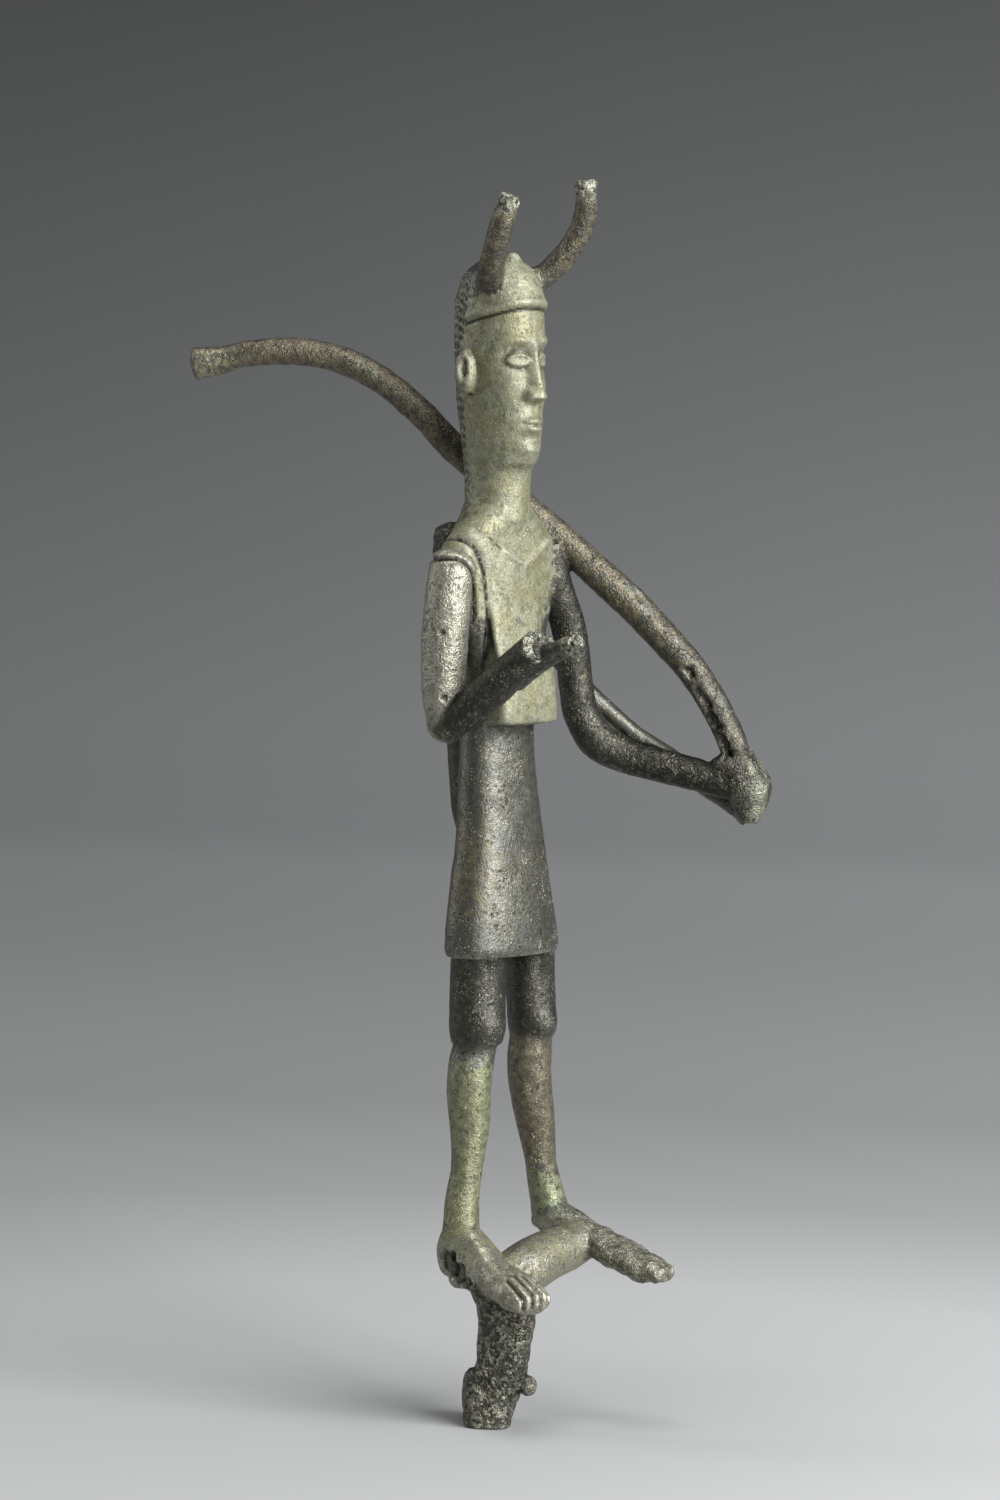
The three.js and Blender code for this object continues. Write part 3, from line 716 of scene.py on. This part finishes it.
# Depths in millimetres, noise by lump size and seed, pits by cell size, share and seed
wear = calm * (0.12 * noise(skin, 7, 1) + 0.05 * noise(skin, 2.6, 2) + 0.03 * noise(skin, 1.2, 3))
wear -= calm * (0.2 * pits(skin, 3.1, 0.12, 31) + 0.2 * pits(skin, 1.7, 0.14, 32))
wear += crusted * (0.3 * noise(skin, 3.6, 21) + 0.16 * noise(skin, 1.7, 22) + 0.12 * noise(skin, 0.95, 23))
wear -= crusted * (0.35 * pits(skin, 2.6, 0.25, 33) - 0.3 * pits(skin, 2.2, 0.25, 35))
wear -= breaks * (0.8 * pits(skin, 1.5, 0.8, 34) - 0.55 * noise(skin, 1.6, 36) - 0.25 * noise(skin, 0.8, 44))
wear += limbs * (0.06 * noise(skin, 2.2, 27) + 0.06 * noise(skin, 1.2, 28) - 0.22 * pits(skin, 1.5, 0.2, 37))
wear += fist * (0.3 * noise(skin, 3.8, 29) + 0.15 * noise(skin, 1.3, 43))
wear += on("stem block", "stem stub") * (0.55 * noise(skin, 4.6, 24) - 0.15)
wear += left_foot * smooth(-y, 8, 14) * (0.3 * noise(skin, 2.2, 25) + 0.15 * noise(skin, 1.1, 26))

# The fist that holds the bow is worn down to a few blunt faces
fist_cut = 1.0
fist_faces = [
    (0.9, -0.3, 0.3), (0.45, -0.85, -0.25), (0.1, -0.85, 0.5), (0.95, 0.1, -0.3),
    (0.5, -0.45, -0.75), (-0.4, -0.85, -0.3), (0.35, -0.3, 0.9), (0.1, 0.2, -1),
]
for facing in np.array(fist_faces):
    rise = skin @ (facing / np.linalg.norm(facing))
    wear -= fist * np.clip(rise - rise[part == "fist"].max() + fist_cut, 0, None)

# Gouges along the bow: the middle, the length along the metal and across it, and the depth
bow_ahead = np.array([0.35, -0.42, -0.84])
gouges = [
    ((31, -23, 150.7), 1.6, 1.2, 1.1), ((33.1, -24.9, 145.2), 2.8, 1.2, 0.9),
    ((34.5, -26.1, 140.8), 2.8, 1.3, 1.0), ((35.8, -27.4, 136.2), 3.8, 1.3, 1.1),
    ((36.6, -28, 132.4), 1.6, 1, 0.8), ((24.5, -15, 165.6), 2, 0.9, 0.5),
    ((-17.2, 34.6, 211.4), 2, 0.8, 0.6), ((-12.4, 29, 209.6), 1.6, 0.8, 0.5),
    ((2.9, 10.9, 198.6), 1.6, 1, 0.5),
]
for middle, long, wide, depth in gouges:
    offset = skin - middle
    ahead = offset @ bow_ahead
    across = np.sqrt(np.clip((offset**2).sum(1) - ahead**2, 0, None))
    away = np.hypot(ahead / long, across / wide) + noise(skin, 0.9, 41) * 0.3
    wear -= depth * smooth(1.15 - away, 0, 0.6)

# Casting holes, widest under the right ankle: the middle, the radius and the depth
holes = [
    ((-14.2, 0.2, 33.2), 3, 0.8), ((-14.6, -3, 31.8), 2.4, 0.8), ((-14.4, -6, 30.4), 1.6, 0.7),
    ((-14.6, -1.4, 35), 1.2, 0.5), ((-12.8, -10, 33.4), 0.9, 0.8), ((-12.2, -11.8, 32), 0.7, 0.6),
    ((-13.6, -5.6, 36.4), 0.7, 0.6), ((-19.6, -3.6, 160), 0.8, 0.5), ((-18.6, -3.4, 147), 0.8, 0.5),
]
hole = np.zeros(len(skin))
for middle, radius, depth in holes:
    away = np.linalg.norm(skin - middle, axis=1) / radius + noise(skin, 1.4, 42) * 0.25
    inside = smooth(1.1 - away, 0, 0.4)
    wear -= depth * inside
    hole = np.maximum(hole, inside)

# The stem's underside stays flat
above_table = smooth(tilted(skin)[:, 2], 0.2, 1.2)
skin = skin + normal * ((tooling + wear) * above_table)[:, None]
statuette.data.vertices.foreach_set("co", skin.astype(np.float32).ravel())
statuette.data.update()

# The patina
# What the ground left on the metal, kept for each point of the skin: pale olive tin-rich
# patina on head and chest, olive and brown on the shins, dark crust, and green spots.
# Painted shade is kept here too, in hollows, creases and cut lines.


def keep(name, amount):
    """Stores an amount from 0 to 1 for each point of the skin, under a name."""
    layer = statuette.data.attributes.new(name, "FLOAT", "POINT")
    layer.data.foreach_set("value", np.clip(amount, 0, 1).astype(np.float32))


# Hollows, creases, casting holes and cut lines are painted dark, partly as earth in them and partly as
# painted shade, and what stands out is rubbed bright
slight, deep = 0.012, 0.06
normal = points_of(statuette.data, "vertex_normals", "vector")
mean = np.stack([sum(np.bincount(a, skin[b, i], len(skin)) for a, b in links) for i in range(3)], axis=1)
dip = ((mean / link_count[:, None] - skin) * normal).sum(1)
dip = smoothed(dip, 2) + 1.5 * smoothed(dip, 12)
cut_lines = panel_cut + 0.8 * armhole_cut + 0.7 * neck_cut + 0.6 * rim_cut + 0.25 * hair * cut
keep("hollow_earth_and_shade", smooth(dip, slight, deep) + 0.75 * hole + cut_lines)
keep("worn", smooth(-dip, slight, deep) + 0.8 * neck_ridge)

breast = on("plate") + tunic * smooth(z, 158, 170) * smooth(-y, 1, 3)
sleeve = tunic * smooth(z + 4 * noise(skin, 8, 55), 162, 174)
side_stain = tunic * bump(np.hypot((y - 1) / 9, (z - 113) / 11), 1) * smooth(-x, 6, 9)
blend_rounds = 30
for name, cover in {
    "pale": on("head", "cap knob") + on("cap") * smooth(-y, -1, 2) + 0.7 * on("right ear", "left ear")
            + breast * (1 - 0.35 * smooth(-z, -152, -138)) + 0.7 * sleeve * (1 - breast) - 0.9 * hair,
    "olive": 0.95 * right_shin * smooth(-z, -76, -70) + left_shin * smooth(-z, -51, -47) + 0.3 * bar
             + right_foot * (0.1 + 0.3 * smooth(z, 33, 37)) + 0.3 * horns * smooth(z, 238, 244) + 0.25 * knob,
    "brown": 0.9 * left_shin * smooth(z, 47, 51) + 0.6 * (bow + knob) * smooth(z, 206, 211) + 0.5 * horns
             + 0.5 * bar + 0.4 * left_foot + 0.35 * right_foot * smooth(-y, 4, 10) + 0.7 * side_stain
             + bow * (0.25 + 0.35 * smooth(z, 145, 175)),
    "silver": 0.9 * on("right upper arm") + 0.9 * bar + right_foot + left_foot
              + 0.25 * bow * smooth(-z, -172, -166),
    "dark": on("right forearm", "left arm") + 0.8 * thighs + 0.8 * on("quiver")
            + 0.6 * on("right thumb") + 0.6 * (horns + bow + fist) + 0.28 * tunic,
    # The left forearm towards the fist, the right forearm, the bow knob and the back of the bow go near black
    "near_black": 0.35 * knob + on("left arm") * (0.3 + 0.9 * smooth(x, 21, 27)) + 0.5 * on("right forearm")
            + 0.4 * bow * smooth(y, 4, 8),
    "crust": stem + 0.5 * fist + breaks + 0.3 * left_foot * smooth(-y, 2, 8),
    "rough": crusted + 0.4 * limbs + 0.4 * fist + 0.25 * (thighs + right_shin + left_shin + bar)
             + 0.1 * on("tunic", "plate", "head", "cap"),
}.items():
    keep(name, smoothed(np.clip(cover, 0, 1), blend_rounds))
green = smooth(noise(skin, 6, 51) + 0.6 * noise(skin, 2.2, 52), 0.5, 0.9)
green_parts = (0.3 * on("stem block", "stem neck") + (right_shin + left_shin) * smooth(-z, -50, -44)
               + left_foot * smooth(z, 38, 41) + near("plate", (-6, -9, 142), 6) + 0.25 * (bow + tunic))
keep("green", green * green_parts)
keep("break", breaks)
outward = (x - y) * math.sqrt(0.5)
broken = smooth(noise(skin, 2.4, 53) + 0.5 * noise(skin, 0.9, 54), -0.15, 0.25)
bare_ends = fist * smooth(outward, 49.8, 51.4) + 0.3 * knob * smooth(y, 57, 57.8)
keep("pale_end", bare_ends * broken + 0.2 * breaks)

# Thinning keeps the finest faces on the face, hair, feet, lines and breaks
fine_parts = on("head", "cap", "cap knob", "right ear", "left ear", "right foot", "right thumb")
detail = np.clip(fine_parts + crusted + (np.abs(tooling) > 0.1) * 0.7 + 0.5 * limbs, 0, 1)
group = statuette.vertex_groups.new(name="plain")
for quarter in range(5):
    chosen = np.flatnonzero(np.round((1 - detail) * 4) == quarter)
    group.add(chosen.tolist(), quarter / 4, "REPLACE")
triangle_budget = 196000
thin = statuette.modifiers.new("thin", "DECIMATE")
thin.ratio = triangle_budget / (2 * len(statuette.data.polygons))
thin.use_collapse_triangulate = True
thin.vertex_group = "plain"
thin.vertex_group_factor = 1.0
apply_modifiers(statuette)
statuette.vertex_groups.clear()
points = tilted(points_of(statuette.data)) * MM
statuette.data.vertices.foreach_set("co", points.astype(np.float32).ravel())
statuette.data.update()
statuette.data.shade_smooth()

# The bronze
# Old cast tin bronze, worn and handled. The metal is dark grey-brown and half shiny, so it
# shows long soft lights; the patinas over it are duller, and earth sits in the pores.


def hex_colour(code):
    """Linear colour with full alpha from an sRGB hex code."""
    parts = [int(code[i:i + 2], 16) / 255 for i in (0, 2, 4)]
    return [c / 12.92 if c <= 0.04045 else ((c + 0.055) / 1.055) ** 2.4 for c in parts] + [1]


def add(kind, settings, inputs, output=0):
    """Adds a node with its settings, sets or links its inputs, and gives one of its outputs.

    The inputs are a list from the first one on, or go by name or number."""
    node = tree.nodes.new("ShaderNode" + kind)
    for name, value in settings.items():
        setattr(node, name, value)
    for name, value in inputs.items() if isinstance(inputs, dict) else enumerate(inputs):
        if isinstance(value, bpy.types.NodeSocket):
            tree.links.new(value, node.inputs[name])
        else:
            node.inputs[name].default_value = value
    return node.outputs[output] if len(node.outputs) else None


times, plus = {"operation": "MULTIPLY"}, {"operation": "ADD"}
soft, colours = {"interpolation_type": "SMOOTHSTEP"}, {"data_type": "RGBA"}

bronze = bpy.data.materials.new("patinated_cast_bronze")
bronze.use_nodes = True
tree = bronze.node_tree
tree.nodes.clear()
coords = add("TexCoord", {}, {}, "Object")
marks = {name: add("Attribute", {"attribute_name": name}, {}, "Fac") for name in (
    "pale", "olive", "brown", "crust", "silver", "dark", "near_black", "rough", "green", "break",
    "pale_end", "hollow_earth_and_shade", "worn")}

# Grains of the surface: the size of their lumps in millimetres, their detail and roughness
clouds, mottle, grit, fine, pore_fields, speck_fields, stains = [
    add("TexNoise", {}, {"Vector": coords, "Scale": 1 / (size * MM), "Detail": detail, "Roughness": rough})
    for size, detail, rough in (
        (7, 3, 0.6), (1.8, 3, 0.65), (0.8, 3, 0.6), (0.4, 2, 0.5), (3.5, 3, 0.6), (4.5, 3, 0.6), (3, 4, 0.7))]
pores = add("Math", times, [
    add("MapRange", soft, [grit, 0.55, 0.64]), add("MapRange", soft, [pore_fields, 0.42, 0.58])])
specks = add("Math", times, [
    add("MapRange", soft, [fine, 0.58, 0.66]), add("MapRange", soft, [speck_fields, 0.46, 0.6])])
stains = add("Math", plus, [stains, add("MapRange", soft, [grit, 0.3, 0.7, -0.1, 0.1])])
film = add("MapRange", soft, [stains, 0.48, 0.62])

# The crystals of a broken casting are finer than this, and are drawn so that they show
crystal_size = 0.7
crystals = add("TexVoronoi", {}, {"Vector": coords, "Scale": 1 / (crystal_size * MM)}, "Color")
# Painted glints: crystals on rough skin are lightened in the colour, as if catching the light
painted_glints = add("Math", times, [add("MapRange", soft, [crystals, 0.62, 0.7]), marks["rough"]])
# The crystals of the breaks are painted pale, partly as bare metal and partly as painted glints
break_crystals_and_glints = add("Math", times, [add("MapRange", soft, [crystals, 0.45, 0.6]), marks["break"]])

# Each patina ends in a broken, cloudy edge
ragged = add("MapRange", soft, [mottle, 0.3, 0.7, -0.3, 0.3])
covers = {
    name: add("MapRange", soft, [add("Math", plus, [marks[name], ragged]), 0.15, 0.75])
    for name in ("pale", "olive", "brown", "crust", "silver", "dark")
}

# The bare metal and the patinas each run between two colours of their own
finishes = {}
for name, grain, low, high, darker, lighter in (
    ("metal", clouds, 0.38, 0.62, "5b5c58", "62615a"),
    ("pale", mottle, 0.36, 0.62, "646652", "84856f"),
    ("olive", mottle, 0.36, 0.62, "5a5c45", "76785a"),
    ("brown", mottle, 0.4, 0.6, "4c4639", "6c634f"),
    ("crust", grit, 0.36, 0.66, "282823", "57544a"),
):
    share = add("MapRange", soft, [grain, low, high])
    finishes[name] = add("Mix", colours, {0: share, 6: hex_colour(darker), 7: hex_colour(lighter)}, 2)
for name, share, stain in (
    ("metal", add("Math", times, [film, 0.5]), "525042"),
    ("pale", add("MapRange", soft, [clouds, 0.45, 0.65, 0, 0.6]), "7a7651"),
    ("pale", add("Math", times, [film, 0.35]), "77735b"),
):
    finishes[name] = add("Mix", colours, {0: share, 6: finishes[name], 7: hex_colour(stain)}, 2)

# They lie over each other in this order: where, how strongly and what
speck_strength = add("Math", times, [
    add("MapRange", soft, [covers["dark"], 0, 1, 0.7, 0.4]),
    add("MapRange", soft, [marks["near_black"], 0, 1, 1, 0.5])])
pore_strength = add("Math", times, [
    add("MapRange", soft, [covers["pale"], 0, 1, 0.8, 0.4]),
    add("MapRange", soft, [covers["silver"], 0, 1, 1, 0.55])])
colour = finishes["metal"]
for cover, strength, finish in (
    (covers["silver"], add("MapRange", soft, [film, 0, 1, 0.85, 0.45]), "9c9a8c"),
    (covers["dark"], 0.85, "302f2a"),
    (marks["near_black"], 1, "1f1e1a"),
    (covers["brown"], 0.8, "brown"),
    (covers["olive"], 1, "olive"),
    (covers["pale"], 1, "pale"),
    (covers["crust"], 1, "crust"),
    (marks["pale_end"], 0.6, "a3a992"),
    (marks["green"], add("MapRange", soft, [grit, 0.42, 0.55, 0, 0.8]), "64806a"),
    (add("MapRange", soft, [fine, 0.45, 0.65]), 0.35, "2e2d26"),
    (specks, speck_strength, "b3ae93"),
    # Painted glints on the rough skin
    (painted_glints, add("MapRange", soft, [covers["dark"], 0, 1, 0.35, 0.12]), "a9a897"),
    # Pale crystals and painted glints on the breaks
    (break_crystals_and_glints, 0.6, "b4b4a6"),
    (marks["worn"], 0.25, "a8a696"),
    (pores, pore_strength, "24231c"),
    # Painted shade with earth: hollows, creases, holes and cut lines go nearly black
    (marks["hollow_earth_and_shade"], 0.9, "191813"),
):
    share = add("Math", times, [cover, strength])
    tone = finishes[finish] if finish in finishes else hex_colour(finish)
    colour = add("Mix", colours, {0: share, 6: colour, 7: tone}, 2)

# A patina is less metallic than the bronze under it, and so are the specks of earth
shine = add("MapRange", soft, [covers["pale"], 0, 1, 0.75, 0.3])
for cover, left in (covers["olive"], 0.5), (covers["brown"], 0.75), (specks, 0.3):
    shine = add("Math", times, [shine, add("MapRange", soft, [cover, 0, 1, 1, left])])
matt = add("Math", plus, [
    add("MapRange", soft, [grit, 0.3, 0.7, 0.34, 0.48]),
    add("MapRange", soft, [covers["pale"], 0, 1, 0, 0.07])])

# The finest relief, deeper where the skin is rough
crystal_relief = add("Math", times, [crystals, marks["rough"]])
height = add("Math", times, [grit, 0.7])
for form, amount in (fine, 0.5), (crystal_relief, 0.5), (pores, -0.6):
    height = add("Math", plus, [height, add("Math", times, [form, amount])])
height = add("Math", times, [height, add("MapRange", soft, [marks["rough"], 0, 1, 0.7, 3.4])])
relief = add("Bump", {}, {"Strength": 0.8, "Distance": 0.2 * MM, "Height": height})
shader = add("BsdfPrincipled", {}, {
    "Base Color": colour, "Metallic": shine, "Roughness": matt, "Normal": relief})
add("OutputMaterial", {}, {"Surface": shader})

statuette.data.materials.clear()
statuette.data.materials.append(bronze)
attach(statuette, "root")
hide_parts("statuette")

# The floor
# Pale matt paper, laid flat under the figure and curved up far behind it on every side. Light
# and shade are painted on it: it is toned by the distance from the figure, lighter at the bend
# and darker up the wall, lighter to one side, and darker where the front light stands close above it.
paper_flat, paper_bend, paper_top, paper_sides, bend_steps = 1.7, 1.1, 2.6, 96, 12


def paper_sweep():
    """Round sheet of paper, in metres, that curves up at its rim."""
    profile = [(0.001, 0), (paper_flat, 0)]
    for i in range(1, bend_steps + 1):
        turn = math.pi / 2 * i / bend_steps
        profile.append((paper_flat + paper_bend * math.sin(turn), paper_bend * (1 - math.cos(turn))))
    profile.append((paper_flat + paper_bend, paper_top))
    rings = [[(r * math.cos(2 * math.pi * i / paper_sides), r * math.sin(2 * math.pi * i / paper_sides), h)
              for i in range(paper_sides)] for r, h in profile]
    points = [p for ring in rings for p in ring]
    faces = [tuple(range(paper_sides))]
    for r in range(len(rings) - 1):
        for i in range(paper_sides):
            a, b = r * paper_sides + i, r * paper_sides + (i + 1) % paper_sides
            faces.append((a, b, b + paper_sides, a + paper_sides))
    mesh = bpy.data.meshes.new("floor")
    mesh.from_pydata(points, [], faces)
    mesh.shade_smooth()
    return mesh


floor = bpy.data.objects.new("floor", paper_sweep())
paper = bpy.data.materials.new("matt_paper")
paper.use_nodes = True
tree = paper.node_tree
sheet = tree.nodes["Principled BSDF"]
sheet.inputs["Roughness"].default_value = 0.9

# Painted light falloff: its tone goes by the distance from the figure in metres, and by the side
paper_reach = 3.0
paper_light_falloff = [(0, 0.32), (3, 0.2), (0.18, 0.39), (0.33, 0.32), (0.53, 0.34), (0.75, 0.47), (0.98, 0.61),
               (1.45, 0.94), (1.7, 0.98), (2, 0.81), (2.34, 0.55), (2.57, 0.38), (2.7, 0.28)]
spot = add("TexCoord", {}, {}, "Object")
away = add("VectorMath", {"operation": "LENGTH"}, [spot], "Value")
tones = add("ValToRGB", {}, [add("Math", times, [away, 1 / paper_reach])])
ramp = tones.node.color_ramp.elements
for i, (metres, tone) in enumerate(paper_light_falloff):
    stop = ramp[i] if i < 2 else ramp.new(metres / paper_reach)
    stop.position = metres / paper_reach
    stop.color = tone, tone * 1.02, tone * 1.03, 1
sideways = add("VectorMath", {"operation": "DOT_PRODUCT"}, [spot, (0.71, -0.71, 0)], "Value")
ahead = add("VectorMath", {"operation": "DOT_PRODUCT"}, [spot, (0, -1, 0)], "Value")
painted_side_light = add("MapRange", soft, [sideways, -0.6, 0.6, 0.76, 1.24])
# Painted shade where the front light stands close above the paper, and painted light past it
lit_front = add("MapRange", soft, [ahead, 0.13, 0.75, 1, 0.06])
past_light = add("MapRange", soft, [ahead, 1.05, 1.35, 0, 0.8])
painted_front_shade = add("Math", {"operation": "MAXIMUM"}, [lit_front, past_light])
share = add("Math", times, [painted_side_light, painted_front_shade])
toned = add("VectorMath", {"operation": "SCALE"}, {0: tones, "Scale": share})
tree.links.new(toned, sheet.inputs["Base Color"])
floor.data.materials.append(paper)
bpy.context.scene.collection.objects.link(floor)

# The light
# One large soft light in front of the figure and above it, a faint narrow one high over its
# head, a tall dim one behind it, and grey light from the open top of the paper sweep.
world = bpy.data.worlds.new("studio")
bpy.context.scene.world = world
world.use_nodes = True
world.node_tree.nodes["Background"].inputs["Color"].default_value = hex_colour("e6e8ea")
world.node_tree.nodes["Background"].inputs["Strength"].default_value = 0.16


def lamp(name, place, size, watts, spread=180):
    """Soft rectangular light, turned to the middle of the figure."""
    light = bpy.data.lights.new(name, "AREA")
    light.shape = "RECTANGLE"
    light.size, light.size_y = size
    light.energy = watts
    light.spread = math.radians(spread)
    thing = bpy.data.objects.new(name, light)
    thing.rotation_mode = "QUATERNION"
    thing.location = place
    thing.rotation_quaternion = (Vector((0, 0, 0.14)) - Vector(place)).to_track_quat("-Z", "Y")
    thing.visible_camera = False
    bpy.context.scene.collection.objects.link(thing)


lamp("key", (0.05, -0.95, 0.5), (0.9, 0.9), 30.5)
lamp("top", (-0.15, -0.1, 1.2), (0.5, 0.5), 1.1, 70)
lamp("edge", (-0.5, 0.85, 0.45), (0.3, 0.8), 3)

# The camera
# Level with the chest of the figure and three quarters round to its right, rolled by as
# much as the figure leans, so that it stands upright in the picture.
azimuth, elevation, distance = math.radians(-45), math.radians(3), 1000 * MM
aim_height = 135.43
target = Vector(tilted(np.array([0, 0, aim_height])) * MM)
back = Vector((math.sin(azimuth) * math.cos(elevation), -math.cos(azimuth) * math.cos(elevation),
               math.sin(elevation)))
level_right = Vector((math.cos(azimuth), math.sin(azimuth), 0))
level_up = back.cross(level_right)
axis = Vector(lean_turn @ np.array([0, 0, 1.0]))
roll = math.atan2(-axis.dot(level_right), axis.dot(level_up))
right = level_right * math.cos(roll) + level_up * math.sin(roll)
up = level_up * math.cos(roll) - level_right * math.sin(roll)
camera = bpy.data.objects.new("camera", bpy.data.cameras.new("camera"))
camera.data.lens = 120
stand = Matrix([right, up, back]).transposed().to_4x4()
stand.translation = target + back * distance
camera.matrix_world = stand
bpy.context.scene.collection.objects.link(camera)
bpy.context.scene.camera = camera
bpy.context.scene.view_settings.view_transform = "Standard"
